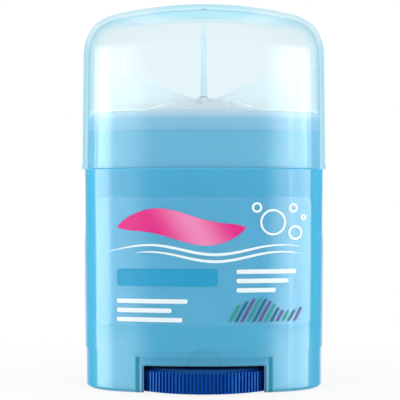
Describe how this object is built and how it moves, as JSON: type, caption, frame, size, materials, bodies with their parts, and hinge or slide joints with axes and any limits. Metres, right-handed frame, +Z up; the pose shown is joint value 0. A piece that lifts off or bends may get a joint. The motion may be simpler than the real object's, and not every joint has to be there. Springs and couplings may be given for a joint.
{
  "type": "solid deodorant stick",
  "caption": "Small upright deodorant stick: oval blue translucent barrel with a clear domed cap, a pull-off seal and a navy dial that raises the product.",
  "frame": {"origin": "centre of the foot, on the surface the stick stands on", "axes": "+Z up towards the cap, +X across the width to the right seen from the front, the front label faces -Y"},
  "size_m": [0.0484, 0.031, 0.0746],
  "materials": {
    "barrel_blue": "translucent blue moulding, satin gloss",
    "dial_navy": "navy moulding with a moulded gloss",
    "platform_white": "uncoloured moulding",
    "product_white": "white waxy solid with a soft sheen",
    "seal_natural": "uncoloured translucent moulding",
    "cap_clear": "clear moulding with a faint blue tint",
    "label_film": "clear film",
    "ink_magenta": "magenta ink that fades to pink",
    "ink_white": "white ink",
    "ink_teal": "teal ink",
    "ink_green": "green ink",
    "ink_deep_teal": "deep teal ink",
    "ink_plum": "plum ink"
  },
  "bodies": {
    "barrel": {"barrel": "barrel_blue", "front_label": "label_film", "back_label": "label_film", "front_ribbon_print": "ink_magenta", "front_white_print": "ink_white", "front_banner_print": "ink_teal", "front_green_stripes": "ink_green", "front_teal_stripes": "ink_deep_teal", "front_plum_stripes": "ink_plum", "back_banner_print": "ink_teal", "back_bar_print": "ink_white"},
    "dial": {"dial_and_screw": "dial_navy"},
    "carriage": {"elevator": "platform_white", "deodorant_stick": "product_white"},
    "seal": {"factory_seal": "seal_natural"},
    "cap": {"cap": "cap_clear"}
  },
  "joints": [
    {"name": "dial_turn", "type": "hinge", "parent": "barrel", "child": "dial", "pos_m": [0, 0, 0], "axis": [0, 0, 1], "range_deg": [0, 1800]},
    {"name": "product_rise", "type": "slide", "parent": "barrel", "child": "carriage", "axis": [0, 0, 1], "range_m": [0, 0.01401]},
    {"name": "seal_pull", "type": "slide", "parent": "carriage", "child": "seal", "axis": [0, 0, 1], "range_m": [0, 0.022]},
    {"name": "cap_pull", "type": "slide", "parent": "seal", "child": "cap", "axis": [0, 0, 1], "range_m": [0, 0.035]}
  ],
  "couplings": [
    {"joint": "product_rise", "follows": "dial_turn", "m_per_rad": 0.00044563}
  ]
}
